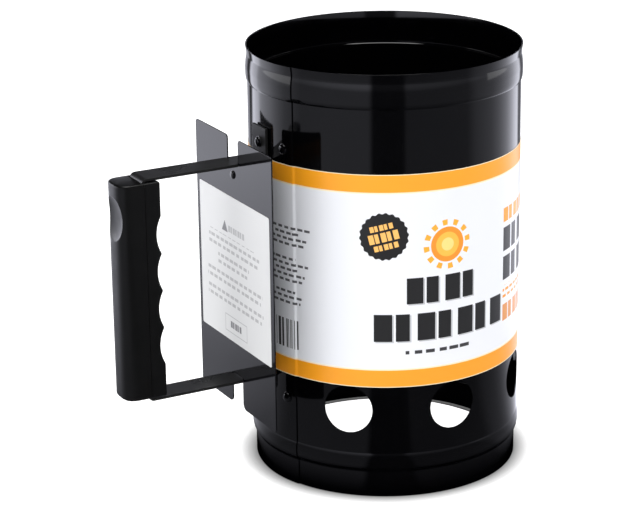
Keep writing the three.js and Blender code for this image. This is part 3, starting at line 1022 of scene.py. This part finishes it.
def cross_recess(x, z):
    """The tools for a cross in a screw's head."""
    long, narrow = 2.2 * MM, 0.4 * MM
    arms = [(long, narrow), (narrow, long)]
    return [block((x - 1.3 * MM, -a, z - b), (x + 1 * MM, a, z + b)) for a, b in arms]


# ---- rivets and washers


TAIL_H = 1.4 * MM
RIVET_HEAD_R = 3.9 * MM


def rivet_profile(seat, tail, head_r, head_h):
    """A dome head on a thin collar, a shank, and a rolled tail."""
    collar_h, dome_from = 0.35 * MM, 0.45 * MM
    dome = [
        (head_r * 0.93 * math.cos(a), seat + dome_from + (head_h - dome_from) * math.sin(a))
        for a in np.linspace(0, math.pi / 2, 9)
    ]
    dome[-1] = (0, seat + head_h)
    quarter = np.linspace(0, math.pi / 2, 7)
    rolled = [(head_r * 0.8 * math.sin(a), tail - TAIL_H * math.cos(a)) for a in quarter]
    rolled[0] = (0, tail - TAIL_H)
    collar = [(SHANK, seat), (head_r, seat), (head_r, seat + collar_h)]
    return [*rolled, (SHANK, tail), *collar, *dome]


def washer_profile(inner, outer):
    lip, ring = 0.2 * MM, 6 * MM
    return [
        (SHANK_HOLE, inner + lip),
        (SHANK_HOLE + lip, inner),
        (ring - lip, inner),
        (ring, inner + lip),
        (ring, outer),
        (SHANK_HOLE, outer),
    ]


def rivets():
    for level in ("bottom", "top"):
        low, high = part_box(f"strap_rivet_{level}")
        z = (low.z + high.z) / 2
        seat, tail = AXIS_X - low.x - 2.45 * MM, AXIS_X - high.x + TAIL_H
        profile = rivet_profile(seat, tail, RIVET_HEAD_R, 2.4 * MM)
        turned_piece(f"strap_rivet_{level}", profile, towards_handle(z), RIVET_ENAMEL)

        low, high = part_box(f"strap_washer_{level}")
        profile = washer_profile(AXIS_X - high.x, AXIS_X - low.x)
        turned_piece(f"strap_washer_{level}", profile, towards_handle(z), ZINC_STEEL)

        seat = DRUM_R + LAP_LIFT + 0.05 * MM
        profile = rivet_profile(seat, DRUM_R - 1.2 * MM, RIVET_HEAD_R, 2.3 * MM)
        matrix = towards_handle(z, SEAM_RIVET_AT)
        turned_piece(f"seam_rivet_{level}", profile, matrix, RIVET_ENAMEL)

    low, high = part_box("shield_rivet")
    face = AXIS_X - SHIELD_LOW.x
    profile = rivet_profile(face + 0.05 * MM, AXIS_X - high.x + TAIL_H, 3 * MM, 1.5 * MM)
    matrix = towards_handle((low.z + high.z) / 2)
    turned_piece("shield_rivet", profile, matrix, RIVET_ENAMEL)


ANGLE_T = 1.2 * MM
ANGLE_BEND = 1.4 * MM


def bracket():
    low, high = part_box("shield_bracket")
    back = AXIS_X - high.x
    front, top = AXIS_X - low.x - ANGLE_T / 2, high.z - ANGLE_T / 2
    line = [(back, top), (front, top), (front, low.z)]
    mesh = outward(*prism(bent_bar(line, ANGLE_T, ANGLE_BEND), high.y - low.y))
    piece = make_piece("bracket_angle", mesh, STRAP_ENAMEL, "shield_bracket")
    soften(piece, 0.2 * MM)


# ---- grate

LUG_ANGLES = (22.5, 112.5, 202.5, 292.5)


def lugs():
    width, tip, wall = 12 * MM, 82.5 * MM, 93.4 * MM - ANGLE_T / 2
    low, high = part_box("grate_lug_1")
    shelf = low.z + ANGLE_T / 2
    outline = bent_bar([(tip, shelf), (wall, shelf), (wall, high.z)], ANGLE_T, ANGLE_BEND)
    for number, angle in enumerate(LUG_ANGLES, 1):
        verts, faces = prism(outline, width)
        axis = Matrix.Translation((AXIS_X, 0, 0))
        turn = np.array(axis @ Matrix.Rotation(angle * DEG, 4, "Z") @ axis.inverted())
        verts = verts @ turn[:3, :3].T + turn[:3, 3]
        name = f"grate_lug_{number}"
        piece = make_piece(f"{name}_fine", outward(verts, faces), WIRE_STEEL, name)
        soften(piece, 0.2 * MM)


def grate_ring():
    wire = (RING_HIGH.z - RING_LOW.z) / 2
    radius = (RING_HIGH.x - RING_LOW.x) / 2 - wire
    middle = (RING_HIGH.z + RING_LOW.z) / 2
    section = np.linspace(0, 2 * math.pi, 17)[:-1]
    profile = [(radius + wire * math.cos(a), middle + wire * math.sin(a)) for a in section]
    mesh = outward(*turned(profile, Matrix.Translation((AXIS_X, 0, 0)), 160))
    make_piece("grate_ring_fine", mesh, WIRE_STEEL, "grate_ring", GRATE)


def rod_profile(length, radius, weld_at):
    """A wire's outline along its length, with rounded tips and a swell at each weld."""
    near_tip = np.linspace(0.44, 0.5, 14)
    stations = np.concatenate([-near_tip[::-1], np.linspace(-0.43, 0.43, 5), near_tip])
    profile = [(0, -length / 2)]
    for here in stations * length:
        tip = min(1.0, ((length / 2 - abs(here)) / (0.6 * MM)) ** 0.5)
        swell = 0.12 * math.exp(-(((abs(here) - weld_at) / (1.3 * MM)) ** 2))
        profile.append((radius * (0.88 * tip + swell), here))
    profile = [p for k, p in enumerate(profile) if k == 0 or p[0] > 0]
    return [*profile, (0, length / 2)]


def grate_rods():
    """Straight wires with rounded tips and a little weld metal where each meets the ring."""
    ring_r = (RING_HIGH.x - RING_LOW.x) / 2 - (RING_HIGH.z - RING_LOW.z) / 2
    for name in ["grate_bar_1", "grate_bar_2"] + [f"grate_wire_{k}" for k in range(1, 10)]:
        low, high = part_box(name)
        size, centre = high - low, (low + high) / 2
        along_x = size.x > size.y
        offset = centre.y if along_x else centre.x - AXIS_X
        weld_at = math.sqrt(max(ring_r**2 - offset**2, 0))
        profile = rod_profile(max(size.x, size.y), size.z / 2, weld_at)
        turn = Matrix.Rotation(math.pi / 2, 4, "Y" if along_x else "X")
        mesh = outward(*turned(profile, Matrix.Translation(centre) @ turn, 20))
        make_piece(f"{name}_fine", mesh, WIRE_STEEL, name, GRATE)


# ---- stage


def stage_mesh(name, verts, faces, material):
    piece = new_object(name, (verts, faces))
    piece.data.materials.append(material)
    return piece


def stage_plane(name, corners, z, material):
    return stage_mesh(name, [(x, y, z) for x, y in corners], [tuple(range(len(corners)))], material)


def stage_wall(name, corners, low, high, material):
    """An upright strip through the corners, all the way round."""
    count = len(corners)
    verts = [(x, y, z) for z in (low, high) for x, y in corners]
    faces = [(i, (i + 1) % count, (i + 1) % count + count, i + count) for i in range(count)]
    return stage_mesh(name, verts, faces, material)


def polar_ring(radius, count=72):
    """Places all round the drum's axis."""
    return [tuple(polar(radius, 360 / count * i, 0))[:2] for i in range(count)]


def from_axis(finish):
    """The distance from the drum's axis, and the angle round it from the camera's direction, in degrees."""
    x, y, _ = finish.axes()
    dx, dy = x - AXIS_X, y
    turn = (SEEN_FROM + 180) * DEG
    ahead = dx * math.cos(turn) + dy * math.sin(turn)
    aside = dy * math.cos(turn) - dx * math.sin(turn)
    return (dx * dx + dy * dy).apply("SQRT"), aside.apply("ARCTAN2", ahead) / DEG


def floor():
    """A white floor that glows a little, with a painted shadow close round the drum's foot and a brighter
    painted glow under the drum.
    """
    finish = Surface("pale_floor", (0.86, 0.86, 0.86), 0.75, specular=0.2)
    shade_from, shade_to, inside, darkest = 88 * MM, 107 * MM, 88 * MM, 0.75
    distance, _ = from_axis(finish)
    # Painted shadow: the floor's colour darkens and its glow fades in a ring 88 to 107 mm from the axis,
    # darkest next to the foot.
    clear = finish.spread(distance, shade_from, shade_to, 0, 1)
    under = distance.below(inside)
    finish.paint(clear * -darkest + darkest - under * darkest, (0, 0, 0))
    finish.shader.inputs["Emission Color"].default_value = (1, 1, 1, 1)
    # Painted light: inside the drum the floor glows brighter than anywhere else, so it shows white through
    # the air holes.
    glow = clear.apply("POWER", 1.5) * 0.66 + under * 1.1
    finish.feed(glow, finish.shader.inputs["Emission Strength"])
    size = 9
    stage_plane("floor", [(-size, -size), (size, -size), (size, size), (-size, size)], 0, finish.material)


# What the gloss sees around it: (degrees to the right of the camera's direction, radiance far out).
REFLECTED = (
    (-180, 0.6), (-153, 0.6), (-150, 0.1), (-144, 0.1), (-140, 2.5), (-128, 2.4), (-123, 1.55),
    (-117, 1.45), (-107, 1.35), (-97, 1.0), (-87, 0.6), (-70, 0.36), (-47, 0.42), (-12, 0.42),
    (-9, 0.045), (15, 0.045), (18, 0.2), (70, 0.21), (79, 0.43), (97, 0.6), (107, 0.9),
    (119, 1.44), (134, 2.5), (143, 2.5), (149, 0.25), (158, 0.25), (162, 0.6), (180, 0.6),
)
BRIGHTEST = max(value for _, value in REFLECTED)


def reflected_colours(finish, angle):
    """The radiance round the studio as a colour, as a share of the brightest side's."""
    ramp = finish.tree.nodes.new("ShaderNodeValToRGB")
    stops = ramp.color_ramp.elements
    while len(stops) < len(REFLECTED):
        stops.new(0.5)
    for stop, (degrees, value) in zip(stops, REFLECTED):
        grey = value / BRIGHTEST
        stop.position = degrees / 360 + 0.5
        stop.color = (grey * 0.95, grey * 0.96, grey * 1.08, 1)
    place = angle / 360 + 0.5
    finish.feed(place, ramp.inputs["Fac"])
    return ramp.outputs["Color"]


def reflected_strength(finish, distance, angle):
    """Dark under the foot, dimmer close to the drum, and brightest at the horizon."""
    height = finish.axes()[2]
    horizon = finish.spread(height, 0.15, 0.5, 1, 2.6) - finish.spread(height, 0.55, 0.85, 0, 2.1)
    close = finish.spread(angle, 90, 115, 0.4, 0.75)
    far = finish.spread(distance, 0.3, 0.85, 0, 1)
    clear = finish.spread(distance, 0.1, 0.13, 0, 1)
    return clear * (close + far * (close * -1 + 1)) * horizon * BRIGHTEST


def reflected_studio():
    """A floor and a wall that only the gloss sees: the dim and bright sides of the studio."""
    finish = Surface("reflected_studio", (0, 0, 0), 1.0, specular=0)
    distance, angle = from_axis(finish)
    strength = reflected_strength(finish, distance, angle)
    finish.feed(reflected_colours(finish, angle), finish.shader.inputs["Emission Color"])
    finish.feed(strength, finish.shader.inputs["Emission Strength"])
    ring, low, high = polar_ring(3.2), 0.4 * MM, 0.95
    for piece in (
        stage_plane("reflected_floor", ring, low, finish.material),
        stage_wall("reflected_wall", ring, low, high, finish.material),
    ):
        piece.visible_camera = False
        piece.visible_diffuse = False
        piece.visible_shadow = False
        piece.visible_transmission = False


def light(name, place, size, watts, seen=True):
    """A soft rectangular light aimed at the drum. One that isn't seen leaves no reflection."""
    aim = Vector((AXIS_X, 0, 0.15))
    lamp = bpy.data.lights.new(name, "AREA")
    lamp.shape = "RECTANGLE"
    lamp.size, lamp.size_y = size
    lamp.energy = watts
    holder = bpy.data.objects.new(name, lamp)
    holder.location = place
    holder.rotation_mode = "QUATERNION"
    holder.rotation_quaternion = (aim - Vector(place)).to_track_quat("-Z", "Y")
    holder.visible_glossy = seen
    bpy.context.scene.collection.objects.link(holder)


def around(angle, distance, z):
    """A place at an angle to the right of the camera's direction, about the drum."""
    return tuple(polar(distance, SEEN_FROM + angle, z))


def lights():
    light("top_softbox", around(0, 0.05, 2.1), (1.2, 1.2), 22)
    light("left_softbox", around(-100, 1.9, 0.45), (1.5, 0.7), 3.2)
    light("right_softbox", around(112, 1.9, 0.45), (1.5, 0.7), 3.2)
    light("front_fill", around(0, 2.6, 1.2), (1.8, 1.4), 10.5, seen=False)
    light("left_fill", around(-62, 2.2, 0.8), (1.2, 1.2), 9, seen=False)
    world = bpy.data.worlds.new("studio")
    world.use_nodes = True
    sky = next(n for n in world.node_tree.nodes if n.type == "BACKGROUND")
    sky.inputs["Color"].default_value = (1, 1, 1, 1)
    sky.inputs["Strength"].default_value = 0.6
    world.cycles_visibility.glossy = False
    bpy.context.scene.world = world


def camera():
    yaw, pitch, roll = (a * DEG for a in (CAMERA_YAW, CAMERA_PITCH, CAMERA_ROLL))
    forward = Vector((math.sin(yaw) * math.cos(pitch), math.cos(yaw) * math.cos(pitch), -math.sin(pitch)))
    right = Vector((math.cos(yaw), -math.sin(yaw), 0))
    up = right.cross(forward)
    tilted_right = right * math.cos(roll) + up * math.sin(roll)
    tilted_up = up * math.cos(roll) - right * math.sin(roll)
    turn = Matrix((tilted_right, tilted_up, -forward)).transposed().to_4x4()
    spot = Matrix.Translation((0, -CAMERA_DISTANCE, CAMERA_HEIGHT)) @ turn
    spot = Matrix.Translation((AXIS_X, 0, 0)) @ Matrix.Rotation(CAMERA_AZIMUTH * DEG, 4, "Z") @ spot
    lens = bpy.data.cameras.new("camera")
    lens.lens = CAMERA_LENS
    lens.sensor_width = 36
    holder = bpy.data.objects.new("camera", lens)
    holder.matrix_world = spot
    bpy.context.scene.collection.objects.link(holder)
    bpy.context.scene.camera = holder


camera()
drum()
wrap()
shield()
sticker()
strap()
grips()
screws()
rivets()
bracket()
lugs()
grate_ring()
grate_rods()
floor()
reflected_studio()
lights()
bpy.context.scene.view_settings.view_transform = "Standard"
